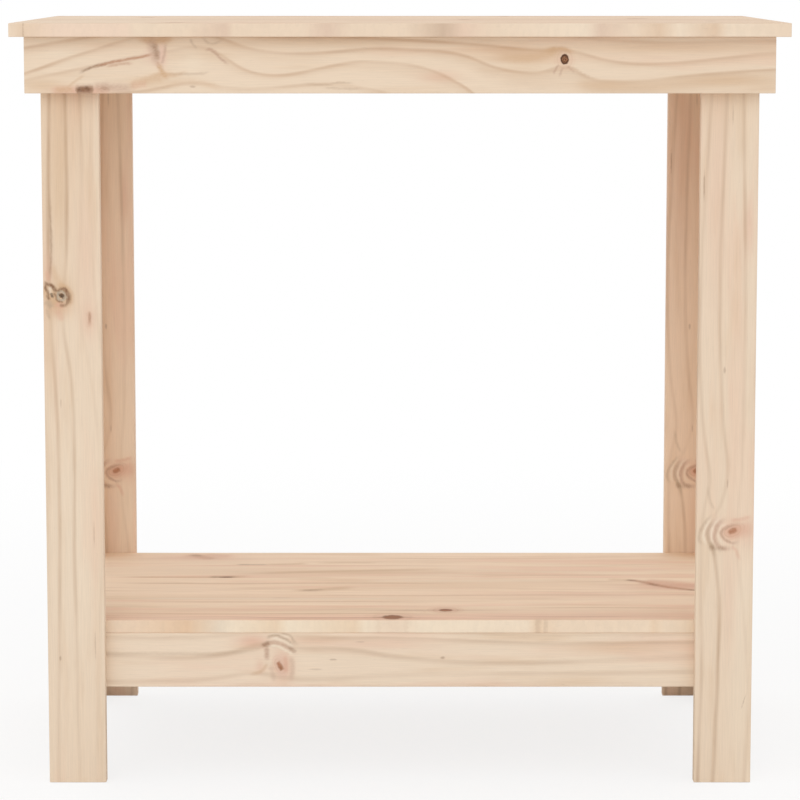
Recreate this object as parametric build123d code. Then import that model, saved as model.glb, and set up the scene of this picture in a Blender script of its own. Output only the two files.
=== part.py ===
from build123d import *
import os

# Potting bench: a tabletop and a lower shelf on an open frame of thin pine boards.
# Millimetres. X runs from left to right, Y from front to back, Z up from the floor.
# The origin is on the floor, under the middle of the tabletop.

# Overall size
bench_width = 800
bench_depth = 500
bench_height = 800

# Tabletop: planks that run left to right, glued edge to edge
top_thickness = 14
top_plank_count = 6
top_overhang = 14  # from the outer face of an apron to the edge of the tabletop

# Aprons: boards on edge under the tabletop, wrapped round the outside of the legs
apron_thickness = 15
apron_height = 58

# Legs: a face board, and a side board that butts against the back of it
leg_thickness = 15
leg_face_width = 60
leg_side_width = 45

# Lower rails: boards on edge inside the legs, under the shelf
rail_thickness = 15
rail_height = 58
rail_floor_gap = 100

# Shelf: planks that run left to right between the legs, glued edge to edge
shelf_thickness = 14
shelf_plank_count = 5

# Battens: cross pieces that keep the planks flat
batten_width = 40
batten_thickness = 20
top_batten_count = 3
shelf_batten_count = 2

# Cleats: square strips inside the side aprons, which the tabletop is screwed down to
cleat_size = 20

# Countersunk wood screws
screw_diameter = 3.5
screw_head_diameter = 7
screw_head_height = 2.4
screw_tip_length = 4
screw_tip_radius = 0.3
screw_bite = 9  # how far a screw enters the second of the boards that it joins
screw_pair_spacing = 30
recess_span = 4.2
recess_width = 1
recess_depth = 1.5

# Dowels
dowel_diameter = 6
dowel_length = 28
dowel_face_depth = 9  # the share of a dowel that enters the face of a board
dowel_ease = 0.6
leg_dowel_count = 4

# Fits and finish
edge_ease = 1  # radius along the edges of each board
end_gap = 0.5  # between the end of a cross piece and the board that it meets
screw_gap = 0.05
dowel_gap = 0.05
dowel_end_gap = 0.5

# Planes that the pieces share, on the positive side of the origin
apron_x = bench_width / 2 - top_overhang
apron_y = bench_depth / 2 - top_overhang
leg_x = apron_x - apron_thickness
leg_y = apron_y - apron_thickness
inner_x = leg_x - leg_thickness
inner_y = leg_y - leg_thickness
leg_edge_x = leg_x - leg_face_width
leg_edge_y = inner_y - leg_side_width
rail_x = inner_x - rail_thickness
rail_y = inner_y - rail_thickness
cleat_x = leg_x - cleat_size
frame_top = bench_height - top_thickness
apron_bottom = frame_top - apron_height
rail_top = rail_floor_gap + rail_height
shelf_top = rail_top + shelf_thickness

across = (-1, 1)
side_names = {-1: "left", 1: "right"}
end_names = {-1: "front", 1: "back"}


def block(x_ends, y_ends, z_ends):
    """A box between two planes along each axis."""
    spans = [sorted(ends) for ends in (x_ends, y_ends, z_ends)]
    size = [high - low for low, high in spans]
    centre = [(low + high) / 2 for low, high in spans]
    return Pos(*centre) * Box(*size)


def board(x_ends, y_ends, z_ends, grain):
    """A board with its four edges along the grain eased."""
    solid = block(x_ends, y_ends, z_ends)
    return fillet(solid.edges().filter_by(grain), edge_ease)


def spread(count, spacing):
    """Positions of a centred row."""
    return [(index - (count - 1) / 2) * spacing for index in range(count)]


def bay_centres(count, span):
    """Centres of the equal bays that a centred span divides into."""
    return spread(count, span / count)


def planks(x_reach, y_reach, z_ends, count):
    """A panel with its outer edges eased, sawn into planks from front to back."""
    panel = block((-x_reach, x_reach), (-y_reach, y_reach), z_ends)
    panel = fillet(panel.edges(), edge_ease)
    half_width = y_reach / count
    made = []
    for centre in bay_centres(count, 2 * y_reach):
        slot = block((-x_reach, x_reach), (centre - half_width, centre + half_width), z_ends)
        made.append(panel & slot)
    return made


def turned(outline):
    """A solid turned about Z from points given as (radius, height)."""
    return revolve(Plane.XZ * make_face(Polyline(*outline, close=True)), Axis.Z)


def screw_outline(length, gap):
    """Half the section of a countersunk screw, or of the hole that it fills."""
    shank_radius = screw_diameter / 2 + gap
    head_radius = screw_head_diameter / 2 + gap
    return [
        (0, -gap),
        (head_radius, -gap),
        (head_radius, 0),
        (shank_radius, screw_head_height),
        (shank_radius, length - screw_tip_length),
        (screw_tip_radius + gap, length + gap),
        (0, length + gap),
    ]


def screw(length):
    """A wood screw along +Z, with the flat of its head at the origin and a cross recess."""
    outline = screw_outline(length, 0)[1:]
    outline[0] = (0, 0)
    slot = Box(recess_span, recess_width, 2 * recess_depth)
    return turned(outline) - slot - Rot(0, 0, 90) * slot


def dowel():
    """A dowel along Z that enters a board's face below the origin and an end above it."""
    middle = dowel_length / 2 - dowel_face_depth
    rod = Pos(0, 0, middle) * Cylinder(dowel_diameter / 2, dowel_length)
    return chamfer(rod.edges().filter_by(GeomType.CIRCLE), dowel_ease)


def dowel_hole():
    """The drilled hole for a dowel, with room at both of its ends."""
    middle = dowel_length / 2 - dowel_face_depth
    return Pos(0, 0, middle) * Cylinder(
        dowel_diameter / 2 + dowel_gap, dowel_length + 2 * dowel_end_gap
    )


def heading(point, direction):
    """The place of a fastener that starts at a point and runs in a direction."""
    return Plane(origin=point, z_dir=direction).location


boards = {}
fasteners = {}
holes = []


def add_screw(group, point, direction, thickness):
    """A screw through a board of some thickness and into the next one, with its hole."""
    length = thickness + screw_bite
    place = heading(point, direction)
    fasteners.setdefault(group, []).append(place * screw(length))
    holes.append(place * turned(screw_outline(length, screw_gap)))


def add_dowel(group, point, direction):
    """A dowel across a joint, with its hole."""
    place = heading(point, direction)
    fasteners.setdefault(group, []).append(place * dowel())
    holes.append(place * dowel_hole())


def add_tabletop():
    made = planks(bench_width / 2, bench_depth / 2, (frame_top, bench_height), top_plank_count)
    for number, plank in enumerate(made, 1):
        boards[f"tabletop_plank_{number}"] = plank


def add_aprons():
    """The front and back aprons cover the ends of the side aprons."""
    heights = (apron_bottom, frame_top)
    for end in across:
        depths = (end * leg_y, end * apron_y)
        boards[f"{end_names[end]}_apron"] = board((-apron_x, apron_x), depths, heights, Axis.X)
    for side in across:
        widths = (side * leg_x, side * apron_x)
        boards[f"{side_names[side]}_apron"] = board(widths, (-leg_y, leg_y), heights, Axis.Y)


def add_leg(side, end):
    """One leg, with the dowels in it and the screws that hold the aprons to it."""
    name = f"{end_names[end]}_{side_names[side]}_leg"
    heights = (0, frame_top)
    face = board((side * leg_edge_x, side * leg_x), (end * inner_y, end * leg_y), heights, Axis.Z)
    flank = board((side * inner_x, side * leg_x), (end * leg_edge_y, end * inner_y), heights, Axis.Z)
    boards[f"{name}_face_board"] = face
    boards[f"{name}_side_board"] = flank

    dowel_x = side * (leg_x - leg_thickness / 2)
    for height in bay_centres(leg_dowel_count, frame_top):
        point = (dowel_x, end * inner_y, frame_top / 2 + height)
        add_dowel("leg_dowels", point, (0, -end, 0))

    face_screw_x = side * (leg_edge_x + inner_x) / 2
    side_screw_y = end * (leg_edge_y + inner_y) / 2
    for height in spread(2, screw_pair_spacing):
        z = (apron_bottom + frame_top) / 2 + height
        add_screw("apron_screws", (face_screw_x, end * inner_y, z), (0, end, 0), leg_thickness)
        add_screw("apron_screws", (side * inner_x, side_screw_y, z), (side, 0, 0), leg_thickness)


def add_rail_screws(side, end):
    """The screws that hold the lower rails to one leg, from inside the frame."""
    front_screw_x = side * (leg_edge_x + rail_x) / 2
    side_screw_y = end * (leg_edge_y + rail_y) / 2
    for height in spread(2, screw_pair_spacing):
        z = (rail_floor_gap + rail_top) / 2 + height
        add_screw("rail_screws", (front_screw_x, end * rail_y, z), (0, end, 0), rail_thickness)
        add_screw("rail_screws", (side * rail_x, side_screw_y, z), (side, 0, 0), rail_thickness)


def add_lower_rails():
    """The side rails stand between the front and back rails."""
    heights = (rail_floor_gap, rail_top)
    reach = inner_x - end_gap
    for end in across:
        depths = (end * rail_y, end * inner_y)
        boards[f"{end_names[end]}_lower_rail"] = board((-reach, reach), depths, heights, Axis.X)
    reach = rail_y - end_gap
    for side in across:
        widths = (side * rail_x, side * inner_x)
        boards[f"{side_names[side]}_lower_rail"] = board(widths, (-reach, reach), heights, Axis.Y)


def add_shelf():
    reach = inner_x - end_gap
    made = planks(reach, inner_y, (rail_top, shelf_top), shelf_plank_count)
    for number, plank in enumerate(made, 1):
        boards[f"shelf_plank_{number}"] = plank


def add_batten(name, group, centre, reach, top, screw_ys):
    """A cross batten, dowelled to the boards at its ends and screwed up into the planks."""
    bottom = top - batten_thickness
    widths = (centre - batten_width / 2, centre + batten_width / 2)
    length = reach - end_gap
    boards[name] = board(widths, (-length, length), (bottom, top), Axis.Y)
    for y in screw_ys:
        add_screw(group, (centre, y, bottom), (0, 0, 1), batten_thickness)
    for end in across:
        for offset in spread(2, batten_width / 2):
            point = (centre + offset, end * reach, (bottom + top) / 2)
            add_dowel("batten_dowels", point, (0, -end, 0))


def add_battens():
    top_ys = bay_centres(top_plank_count, bench_depth)
    for number, centre in enumerate(bay_centres(top_batten_count, 2 * leg_edge_x), 1):
        add_batten(f"top_batten_{number}", "top_screws", centre, leg_y, frame_top, top_ys)
    shelf_ys = bay_centres(shelf_plank_count, 2 * inner_y)
    for number, centre in enumerate(bay_centres(shelf_batten_count, 2 * rail_x), 1):
        add_batten(f"shelf_batten_{number}", "shelf_screws", centre, rail_y, rail_top, shelf_ys)


def add_cleat(side):
    """A cleat between two legs, screwed to the side apron and up into the planks over it."""
    bottom = frame_top - cleat_size
    reach = leg_edge_y - end_gap
    widths = (side * cleat_x, side * leg_x)
    name = f"{side_names[side]}_top_cleat"
    boards[name] = board(widths, (-reach, reach), (bottom, frame_top), Axis.Y)
    plank_ys = bay_centres(top_plank_count, bench_depth)
    seam_ys = spread(top_plank_count - 1, bench_depth / top_plank_count)
    for y in plank_ys:
        if abs(y) < reach - screw_head_diameter:
            point = (side * (cleat_x + leg_x) / 2, y, bottom)
            add_screw("top_screws", point, (0, 0, 1), cleat_size)
    for y in seam_ys:
        if abs(y) < reach - screw_head_diameter:
            point = (side * cleat_x, y, bottom + cleat_size / 2)
            add_screw("cleat_screws", point, (side, 0, 0), cleat_size)


def boxes_meet(first, second):
    """Whether the bounding boxes of two solids share any space."""
    one = first.bounding_box()
    two = second.bounding_box()
    lows = zip(one.min, two.max)
    highs = zip(two.min, one.max)
    return all(low < high for low, high in (*lows, *highs))


def bored(solid):
    """A board with a hole for every fastener that enters it."""
    entering = [hole for hole in holes if boxes_meet(solid, hole)]
    return solid - entering if entering else solid


add_tabletop()
add_aprons()
for end in across:
    for side in across:
        add_leg(side, end)
        add_rail_screws(side, end)
add_lower_rails()
add_shelf()
add_battens()
for side in across:
    add_cleat(side)

os.makedirs("parts", exist_ok=True)
for name, solid in boards.items():
    export_step(bored(solid), f"parts/{name}.step")
for name, solids in fasteners.items():
    export_step(Compound(children=solids), f"parts/{name}.step")
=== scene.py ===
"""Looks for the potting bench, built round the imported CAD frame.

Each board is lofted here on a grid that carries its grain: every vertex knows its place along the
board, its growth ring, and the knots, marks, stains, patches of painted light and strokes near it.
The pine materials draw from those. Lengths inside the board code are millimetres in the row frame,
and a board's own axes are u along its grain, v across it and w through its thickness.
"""
import math
import random
import bpy
import numpy as np
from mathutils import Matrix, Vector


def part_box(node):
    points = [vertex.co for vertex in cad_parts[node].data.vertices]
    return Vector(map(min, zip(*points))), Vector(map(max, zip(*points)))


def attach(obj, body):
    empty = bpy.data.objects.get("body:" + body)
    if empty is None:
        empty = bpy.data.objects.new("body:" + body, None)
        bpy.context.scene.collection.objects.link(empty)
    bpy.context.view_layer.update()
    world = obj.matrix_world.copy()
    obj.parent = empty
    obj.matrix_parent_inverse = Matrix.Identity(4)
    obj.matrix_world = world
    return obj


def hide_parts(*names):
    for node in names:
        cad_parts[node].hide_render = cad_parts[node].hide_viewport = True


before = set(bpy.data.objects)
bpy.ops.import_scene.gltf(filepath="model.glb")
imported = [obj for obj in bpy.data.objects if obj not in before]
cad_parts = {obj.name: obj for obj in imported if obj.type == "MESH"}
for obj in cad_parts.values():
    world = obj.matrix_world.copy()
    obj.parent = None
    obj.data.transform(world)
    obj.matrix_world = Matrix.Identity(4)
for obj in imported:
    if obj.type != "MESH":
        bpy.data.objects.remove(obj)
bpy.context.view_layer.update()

MM = 0.001
X, Y, Z = 0, 1, 2


# ---------------------------------------------------------------- small helpers


def paint(red, green, blue):
    """A linear colour from 0 to 255 sRGB values."""
    channels = []
    for value in (red, green, blue):
        share = value / 255
        channels.append(share / 12.92 if share <= 0.04045 else ((share + 0.055) / 1.055) ** 2.4)
    return (*channels, 1.0)


def wave(values, seed, length):
    """A smooth wandering curve between about -1 and 1, from a few sines of uneven length."""
    draw = random.Random(seed)
    total = np.zeros_like(values, dtype=float)
    for share, stretch in ((0.55, 1.0), (0.3, 0.43), (0.15, 0.19)):
        phase = draw.uniform(0, 2 * math.pi)
        total += share * np.sin(2 * math.pi * values / (length * stretch) + phase)
    return total


def smooth(values, low, high):
    """Rises smoothly from 0 at low to 1 at high."""
    share = np.clip((values - low) / (high - low), 0, 1)
    return share * share * (3 - 2 * share)


def curve(points, values):
    """A smooth line through (u, v) points, level beyond its ends."""
    us, vs = np.array(points, float).T
    slopes = np.gradient(vs, us)
    spot = np.clip(np.searchsorted(us, values) - 1, 0, len(us) - 2)
    span = us[spot + 1] - us[spot]
    t = np.clip((values - us[spot]) / span, 0, 1)
    start = (1 + 2 * t) * (1 - t) ** 2 * vs[spot] + t * (1 - t) ** 2 * span * slopes[spot]
    finish = t**2 * (3 - 2 * t) * vs[spot + 1] - t**2 * (1 - t) * span * slopes[spot + 1]
    return start + finish


# ---------------------------------------------------------------- growth rings


def pith_rings(seed, spacing, aside, below, tilt=0.0, dip=0.0):
    """Rings round a pith that runs near the board: aside across it, below under its face.

    tilt and dip are how fast the pith drifts sideways and deeper along the board, which is what
    draws the long arches on a flat-sawn face. The pith wanders by a few millimetres, and the rings
    aren't evenly wide.
    """

    def rings(u, v, w):
        pith_v = aside + tilt * u + 3 * wave(u, seed, 640)
        pith_w = below + dip * u + 2 * wave(u, seed + 1, 520)
        radius = np.hypot(v - pith_v, w - pith_w)
        ripple = 0.35 * wave(u + 2 * v, seed + 2, 260)
        uneven = 0.5 * wave(radius, seed + 4, spacing * 16)
        return (radius + ripple) / spacing + uneven, np.ones_like(u)

    return rings


def guided_rings(lines, aside=0.0, depth_turn=0.02, beyond=12.0):
    """Rings between given growth lines, each (ring, ink, points), lowest first.

    The points are (along, across) in millimetres, and ink is a strength or (along, strength) pairs.
    Past the outermost lines the rings carry on, fainter, one to each beyond. aside moves them all
    across the board, and depth_turn is how many rings go by to a millimetre of depth.
    """

    def ink_of(line, u):
        if isinstance(line[1], list):
            return np.interp(u, [pair[0] for pair in line[1]], [pair[1] for pair in line[1]])
        return np.full_like(u, line[1], dtype=float)

    def rings(u, v, w):
        heights = [curve(line[2], u) + aside for line in lines]
        inks = [ink_of(line, u) for line in lines]
        under = np.maximum(heights[0] - v, 0)
        over = np.maximum(v - heights[-1], 0)
        number = lines[0][0] - under / beyond * np.sign(lines[1][0] - lines[0][0])
        number += over / beyond * np.sign(lines[-1][0] - lines[-2][0])
        ink = inks[0].copy()
        for index in range(len(lines) - 1):
            gap = np.maximum(heights[index + 1] - heights[index], 0.5)
            share = np.clip((v - heights[index]) / gap, 0, 1)
            number += share * (lines[index + 1][0] - lines[index][0])
            ink += smooth(share, 0.3, 0.7) * (inks[index + 1] - inks[index])
        ink *= 1 - 0.7 * smooth(np.maximum(under, over), 2, 9)
        return number + depth_turn * (w - w.min()), ink

    return rings


def parted(rings, knots):
    """The same rings, parted a little round each knot."""

    def turned(u, v, w):
        shifted = np.array(v, float)
        for one in knots:
            du = (u - one["u"]) / one["ru"]
            dv = (v - one["v"]) / one["rv"]
            distance = np.maximum(np.hypot(du / 1.8, dv), 0.6)
            pull = smooth(distance, 3.4, 0.6) / np.maximum(distance, 1.0) ** 2
            shifted -= one["part"] * pull * dv * one["rv"]
        return rings(u, shifted, w)

    return turned


FINEST_PITCH, WIDEST_PITCH = 1.2, 40


def pitch_of(rings, u, v, w, nudge=0.4):
    """How many millimetres there are from one ring to the next, at each vertex."""
    here = rings(u, v, w)[0]
    slopes = [
        rings(u + nudge, v, w)[0] - here,
        rings(u, v + nudge, w)[0] - here,
        rings(u, v, w + nudge)[0] - here,
    ]
    steepness = np.sqrt(sum(slope**2 for slope in slopes)) / nudge
    return 1 / np.clip(steepness, 1 / WIDEST_PITCH, 1 / FINEST_PITCH)


STROKE_COLOURS = {
    "grey": paint(190, 165, 140)[:3], "tan": paint(208, 172, 136)[:3], "rust": paint(178, 124, 94)[:3],
    "brown": paint(138, 103, 77)[:3], "bark": paint(84, 68, 54)[:3], "mauve": paint(192, 158, 136)[:3],
    "pale": paint(240, 224, 203)[:3], "blush": paint(218, 172, 147)[:3], "ash": paint(184, 172, 152)[:3],
    "pink": paint(228, 197, 178)[:3],
}


def knot(u, v, ru, rv, dark=0.6, halo=0.6, sink=0.25, turn=0.0, part=0.7):
    """A knot at (u, v) with the radii of its heart along and across the grain.

    dark is how strong its rim is, halo the warm patch round it, sink how deep its heart dips, turn
    the slope that it lies at, and part how far the rings give way to it.
    """
    return dict(u=u, v=v, ru=ru, rv=rv, dark=dark, halo=halo, sink=sink, turn=turn, part=part)


def mark(u, v, long, wide, strength=0.6, turn=0.0):
    """A dark streak, check or fleck: half its length and width, and the slope that it lies at."""
    return dict(u=u, v=v, long=long, wide=wide, strength=strength, turn=turn)


def stain(u, v, long, wide, tan=0.0, rosy=0.0, pale=0.0, turn=0.0):
    """A soft patch of colour, for stains in the wood and for a few patches of painted light."""
    return dict(u=u, v=v, long=long, wide=wide, tint=(tan, rosy, pale), turn=turn)


def stroke(colour, ink, wide, *points, tips=0.25):
    """A soft line through (along, across) points: wide is half its width, tips the share that fades."""
    return dict(colour=STROKE_COLOURS[colour], ink=ink, wide=wide, points=points, tips=tips)


def smooth_path(points, pieces=6):
    """More points, on a smooth path through the given ones; it closes if they come back round."""
    given = np.array(points, float)
    if points[0] == points[-1]:
        guides = np.vstack([given[-2], given, given[1]])
    else:
        guides = np.vstack([2 * given[0] - given[1], given, 2 * given[-1] - given[-2]])
    path = []
    for before, start, end, after in zip(guides, guides[1:], guides[2:], guides[3:]):
        for t in np.linspace(0, 1, pieces, endpoint=False):
            bend = 2 * before - 5 * start + 4 * end - after
            twist = 3 * start - before - 3 * end + after
            path.append(start + 0.5 * ((end - before) * t + bend * t**2 + twist * t**3))
    return np.array(path + [given[-1]])


def painted(u, v, strokes, seed):
    """The strokes laid over one another: at each vertex, their colour times their ink, and the ink."""
    along = u + 0.5 * wave(u + 2 * v, seed + 30, 12)
    across = v + 0.4 * wave(u - v, seed + 31, 14)
    colour = np.zeros((len(u), 3))
    ink = np.zeros(len(u))
    for one in strokes:
        path = smooth_path(one["points"])
        start, way = path[:-1], np.diff(path, axis=0)
        reach = 1.4 * one["wide"]
        near = (along > path[:, 0].min() - reach) & (along < path[:, 0].max() + reach)
        near &= (across > path[:, 1].min() - reach) & (across < path[:, 1].max() + reach)
        near = np.nonzero(near)[0]
        du, dv = along[near, None] - start[:, 0], across[near, None] - start[:, 1]
        share = np.clip((du * way[:, 0] + dv * way[:, 1]) / (way**2).sum(axis=1), 0, 1)
        gap = np.hypot(du - share * way[:, 0], dv - share * way[:, 1])
        best = gap.argmin(axis=1)
        row = np.arange(len(best))
        press = one["ink"] * smooth(gap[row, best] / one["wide"], 1.3, 0.15)
        if one["points"][0] != one["points"][-1]:
            travel = (best + share[row, best]) / len(way)
            press *= smooth(np.minimum(travel, 1 - travel), 0.0, one["tips"])
        colour[near] = colour[near] * (1 - press)[:, None] + press[:, None] * np.array(one["colour"])
        ink[near] = 1 - (1 - ink[near]) * (1 - press)
    return colour, ink


# ---------------------------------------------------------------- board meshes

END_EASE = 0.5
EDGE_EASE = 1.0
SEAM_EASE = 0.25
EASE_MARGIN = 0.4  # from an eased edge to the first line of the flat
FLAT_STEP = 5.0  # grid pitch through the thickness
HAIR = 0.01  # places closer than this count as the same
SINK_SQUARE = 5.0  # half the square of grid that gives way to a countersink
HEAD_RADIUS = 3.55
HEAD_DEPTH = 2.4
SHANK_RADIUS = 1.8
KNOT_PITCH = 1.6  # grid pitch round a knot
LONG_STROKE = 60  # strokes from this length on leave the grid along the board as it is
FAR = 9.0  # offsets from a knot or mark are kept up to this many of its radii
GRAIN_SHIFT = (977.0, 131.0)  # from one board's grain to the next's, so that no two look alike
FACE_WOOD, END_WOOD, BAND_WOOD = 0, 1, 2


def ladder(low, high, ease_low, ease_high, step, must=(), fine=()):
    """Grid lines from low to high: at the eased edges, at the places given, and then evenly.

    fine holds (centre, reach, pitch), where the lines stand closer.
    """
    roll = (0, 0.586, 1.0)
    first, last = low + ease_low + EASE_MARGIN, high - ease_high - EASE_MARGIN
    lines = [low + ease_low * share for share in roll] + [first]
    lines += [high - ease_high * share for share in roll] + [last]
    for place in must:
        if min(abs(place - line) for line in lines) > 0.15 and first < place < last:
            lines.append(place)
    wishes = []
    for centre, reach, pitch in fine:
        count = max(1, round(2 * reach / pitch))
        wishes += [(pitch, value) for value in np.linspace(centre - reach, centre + reach, count + 1)]
    count = max(1, round((last - first) / step))
    wishes += [(step, value) for value in np.linspace(first, last, count + 1)[1:-1]]
    for pitch, value in wishes:
        if first < value < last and min(abs(value - line) for line in lines) > 0.55 * pitch:
            lines.append(value)
    return np.array(sorted(lines))


def countersink(shell, quads, sink):
    """Swaps the square of grid round a screw head for a round countersunk hole."""
    axis, side, first, second = sink
    others = [n for n in (0, 1, 2) if n != axis]
    places = shell["places"]
    on_side = shell["cell"][:, axis] == (0 if side < 0 else shell["count"][axis] - 1)
    near = on_side & (abs(places[:, others[0]] - first) < SINK_SQUARE + HAIR)
    near &= abs(places[:, others[1]] - second) < SINK_SQUARE + HAIR
    inside = near & (abs(places[:, others[0]] - first) < SINK_SQUARE - HAIR)
    inside &= abs(places[:, others[1]] - second) < SINK_SQUARE - HAIR
    rim = np.nonzero(near & ~inside)[0]
    offsets = places[rim][:, others] - np.array([first, second])
    angles = np.arctan2(offsets[:, 1], offsets[:, 0])
    rim = rim[np.argsort(angles)]
    angles = np.sort(angles)
    kept = [quad for quad in quads if not all(near[corner] for corner in quad)]

    level = places[rim[0]][axis]
    rings = [rim]
    for radius, depth in ((HEAD_RADIUS, 0.0), (SHANK_RADIUS, HEAD_DEPTH)):
        ring = np.zeros((len(rim), 3))
        ring[:, others[0]] = first + radius * np.cos(angles)
        ring[:, others[1]] = second + radius * np.sin(angles)
        ring[:, axis] = level - side * depth
        start = len(places)
        places = np.vstack([places, ring])
        rings.append(np.arange(start, start + len(rim)))
    turned = (side < 0) != (axis == 1)
    count = len(rim)
    patch = []
    for outer, inner in zip(rings, rings[1:]):
        for n in range(count):
            after = (n + 1) % count
            quad = (outer[n], outer[after], inner[after], inner[n])
            patch.append(quad[::-1] if turned else quad)
    floor = tuple(rings[-1])
    patch.append(floor[::-1] if turned else floor)
    shell["places"] = places
    spare = np.full((len(places) - len(shell["cell"]), 3), -1)
    shell["cell"] = np.vstack([shell["cell"], spare])
    return kept, patch


def shell_grid(lines):
    """The outside of a block on a grid, as places, and quads by the side that they lie on."""
    count = [len(one) for one in lines]
    inside = np.zeros(count, bool)
    inside[1:-1, 1:-1, 1:-1] = True
    cell = np.argwhere(~inside)
    index = np.full(count, -1)
    index[tuple(cell.T)] = np.arange(len(cell))
    places = np.stack([lines[n][cell[:, n]] for n in range(3)], axis=1)
    sides = {}
    for axis in range(3):
        for side, layer in ((-1, 0), (1, count[axis] - 1)):
            sheet = np.take(index, layer, axis=axis)
            corners = (sheet[:-1, :-1], sheet[1:, :-1], sheet[1:, 1:], sheet[:-1, 1:])
            quads = np.stack([corner.ravel() for corner in corners], axis=1)
            if (side < 0) != (axis == 1):
                quads = quads[:, ::-1]
            sides[axis, side] = [tuple(quad) for quad in quads.tolist()]
    return dict(places=places, cell=cell, count=count), sides


def ease(places, low, high, seams, seed):
    """Rounds the edges of the grid, a little unevenly along the board.

    seams holds how far the edges at the low and at the high side across it are eased.
    """
    middle = (low[1] + high[1]) / 2
    wear = 1 + 0.18 * wave(places[:, 0], seed, 130)
    radius = np.where(places[:, 1] < middle, seams[0], seams[1]) * np.minimum(wear, 1.18)
    radii = np.stack([np.full(len(places), END_EASE), radius, radius], axis=1)
    core = np.clip(places, np.array(low) + radii, np.array(high) - radii)
    reach = (places - core) / radii
    length = np.maximum(np.linalg.norm(reach, axis=1, keepdims=True), 1)
    return core + radii * reach / length


def offset_from(thing, u, v, long_key="long", wide_key="wide"):
    """How far each vertex is from a thing along and across its lie, in the thing's own radii."""
    du, dv = u - thing["u"], v - thing["v"]
    turn = thing["turn"]
    return (du + turn * dv) / thing[long_key], (dv - turn * du) / thing[wide_key]


def nearest(u, v, things, *keys):
    """Offsets and distance from each vertex to the nearest of some things, and which one it is."""
    offset = np.full((len(u), 3), FAR)
    which = np.zeros(len(u), int)
    for number, thing in enumerate(things):
        along, across = offset_from(thing, u, v, *keys)
        distance = np.minimum(np.hypot(along, across), FAR)
        closer = distance < offset[:, 2]
        offset[closer] = np.stack([along, across, distance], axis=1)[closer]
        which[closer] = number
    return offset, which


def sink_knots(places, knots, low, high):
    """Lowers the heart of each knot on both faces; gives the offsets from it and its facts."""
    u, v, w = places.T
    offset, which = nearest(u, v, knots, "ru", "rv")
    if not knots:
        return offset, np.zeros((len(u), 3))
    facts = np.array([(one["dark"], one["halo"], one["sink"]) for one in knots])[which]
    dip = facts[:, 2] * (1 - smooth(offset[:, 2], 0.35, 1.15))
    inward = np.where(w < (low[2] + high[2]) / 2, 1.0, -1.0)
    on_face = np.minimum(w - low[2], high[2] - w) < HAIR
    places[:, 2] += np.where(on_face, inward * dip, 0.0)
    return offset, facts


def tint_of(u, v, stains):
    """How tan, rosy and pale the stains, and the patches of painted light, make each vertex."""
    tint = np.zeros((len(u), 3))
    for one in stains:
        along, across = offset_from(one, u, v)
        tint += np.exp(-(along**2 + across**2))[:, None] * np.array(one["tint"])
    return tint


def span(values, wide, pitch):
    """The stretch of closer grid lines that a stroke needs, as (centre, reach, pitch)."""
    return (min(values) + max(values)) / 2, (max(values) - min(values)) / 2 + wide, pitch


def fine_spots(knots, strokes):
    """Where the grid lines stand closer, along and across the board."""
    fine_u = [(one["u"], one["ru"] * 2.4 + 4, KNOT_PITCH) for one in knots]
    fine_v = [(one["v"], one["rv"] * 2.4 + 3, KNOT_PITCH) for one in knots]
    for one in strokes:
        us, vs = zip(*one["points"])
        pitch = min(max(0.7 * one["wide"], 1.0), 3.0)
        if max(us) - min(us) < LONG_STROKE:
            fine_u.append(span(us, one["wide"], pitch))
        fine_v.append(span(vs, one["wide"], pitch))
    return fine_u, fine_v


def sink_lines(sinks):
    """The grid lines that each axis needs, for countersinks at (axis, side, place, place)."""
    must = [[], [], []]
    for axis, _, first, second in sinks:
        others = [n for n in (0, 1, 2) if n != axis]
        for other, centre in zip(others, (first, second)):
            must[other] += [centre + SINK_SQUARE * share for share in (-1, 0, 1, -0.5, 0.5)]
    return must


def board_faces(shell, sides, sinks, banded):
    """The faces of a board with its countersinks, and which of its woods each one takes."""
    faces, slots = [], []
    for sink in sinks:
        sides[sink[:2]], patch = countersink(shell, sides[sink[:2]], sink)
        faces += patch
        slots += [FACE_WOOD] * len(patch)
    for (axis, side), quads in sides.items():
        wood = END_WOOD if axis == 0 else FACE_WOOD
        if banded and axis == 1 and side < 0:
            wood = BAND_WOOD
        faces += quads
        slots += [wood] * len(quads)
    return faces, slots


def board_mesh(node, places, order, faces, slots, woods):
    """The mesh of a board, turned from its own axes to the row's."""
    world = np.zeros_like(places)
    for local, axis in enumerate(order):
        world[:, axis] = places[:, local] * MM
    mirrored = order in ((0, 2, 1), (1, 0, 2), (2, 1, 0))
    mesh = bpy.data.meshes.new(f"pine_{node}")
    mesh.from_pydata(world.tolist(), [], [face[::-1] for face in faces] if mirrored else faces)
    for wood in woods:
        mesh.materials.append(wood)
    mesh.polygons.foreach_set("material_index", slots)
    mesh.polygons.foreach_set("use_smooth", [True] * len(faces))
    return mesh


def band_colours(bands, u):
    """The colour of the banded edge at each vertex."""
    stops = np.array([place for place, _ in bands])
    colours = np.array([paint(*colour)[:3] for _, colour in bands])
    return np.stack([np.interp(u, stops, colours[:, n]) for n in range(3)], axis=1)


def give(mesh, name, values):
    """Stores one value, or one vector, on each vertex."""
    kind, field = ("FLOAT_VECTOR", "vector") if values.ndim == 2 else ("FLOAT", "value")
    data = mesh.attributes.new(name, kind, "POINT").data
    data.foreach_set(field, values.astype(np.float32).ravel())


BUILT = []


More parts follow.
